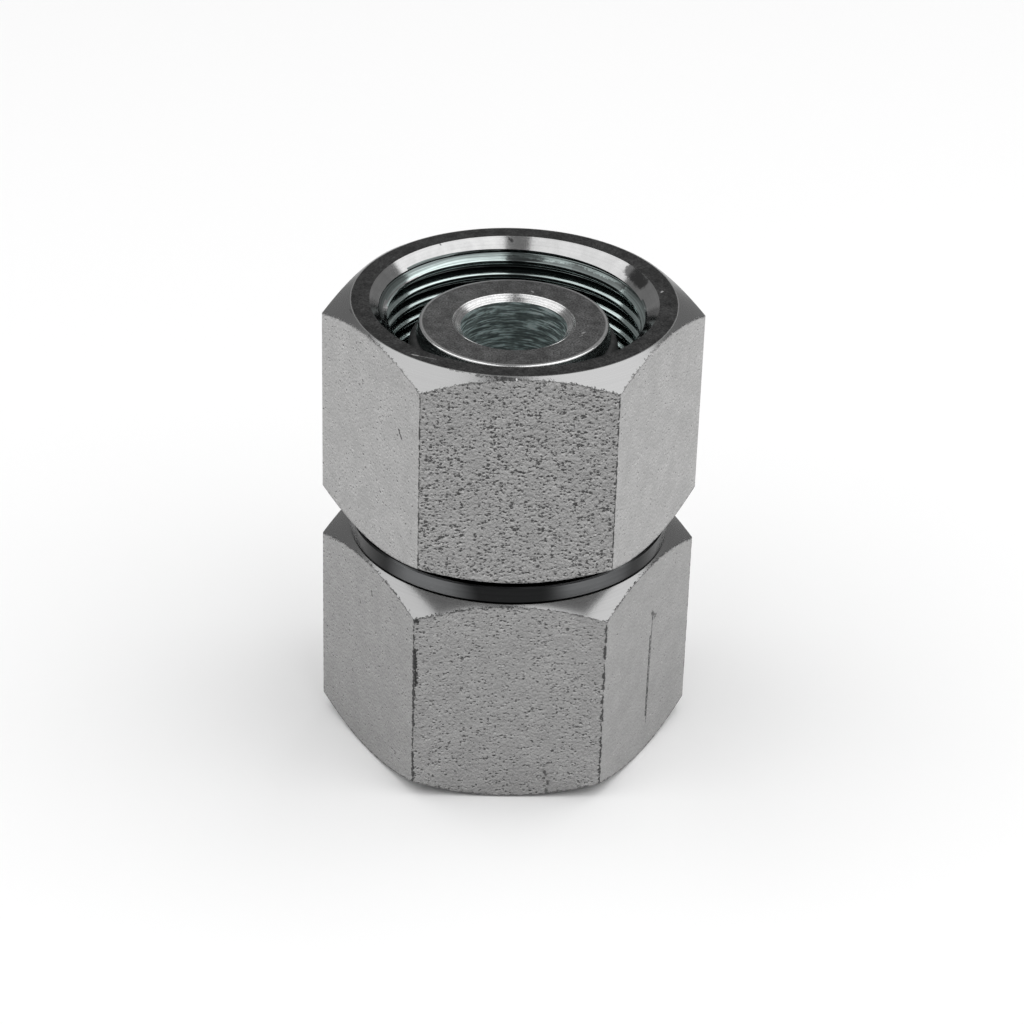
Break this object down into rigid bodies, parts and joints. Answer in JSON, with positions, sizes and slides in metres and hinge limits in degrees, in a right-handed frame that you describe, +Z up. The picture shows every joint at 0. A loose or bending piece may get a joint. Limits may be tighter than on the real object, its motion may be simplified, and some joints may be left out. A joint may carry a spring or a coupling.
{
  "type": "straight union fitting",
  "caption": "Straight tube union: hexagon swivel nuts on a coned, O-ring sealed nipple, joining male threaded fittings end to end.",
  "frame": {"origin": "centre of the lower nut's end face, which the fitting stands on", "axes": "+Z up along the flow axis, towards the upper nut's open end; flats of both nuts face +Y and -Y to half a degree, corners point along X"},
  "size_m": [0.0368, 0.0322, 0.0469],
  "materials": {
    "nut_steel": "zinc plated hexagon steel with rough rolled flats and turned ends",
    "nipple_steel": "zinc plated turned steel",
    "spring_steel": "oiled round spring wire",
    "seal_rubber": "matt black nitrile rubber"
  },
  "bodies": {
    "nipple": {"nipple": "nipple_steel", "upper_o_ring": "seal_rubber", "lower_o_ring": "seal_rubber", "upper_retaining_ring": "spring_steel", "lower_retaining_ring": "spring_steel"},
    "upper_nut": {"upper_nut": "nut_steel"},
    "lower_nut": {"lower_nut": "nut_steel"}
  },
  "joints": [
    {"name": "upper_nut_swivel", "type": "hinge", "parent": "nipple", "child": "upper_nut", "pos_m": [0, 0, 0.03578], "axis": [0, 0, 1], "continuous": true},
    {"name": "lower_nut_swivel", "type": "hinge", "parent": "nipple", "child": "lower_nut", "pos_m": [0, 0, 0.01112], "axis": [0, 0, 1], "continuous": true}
  ]
}
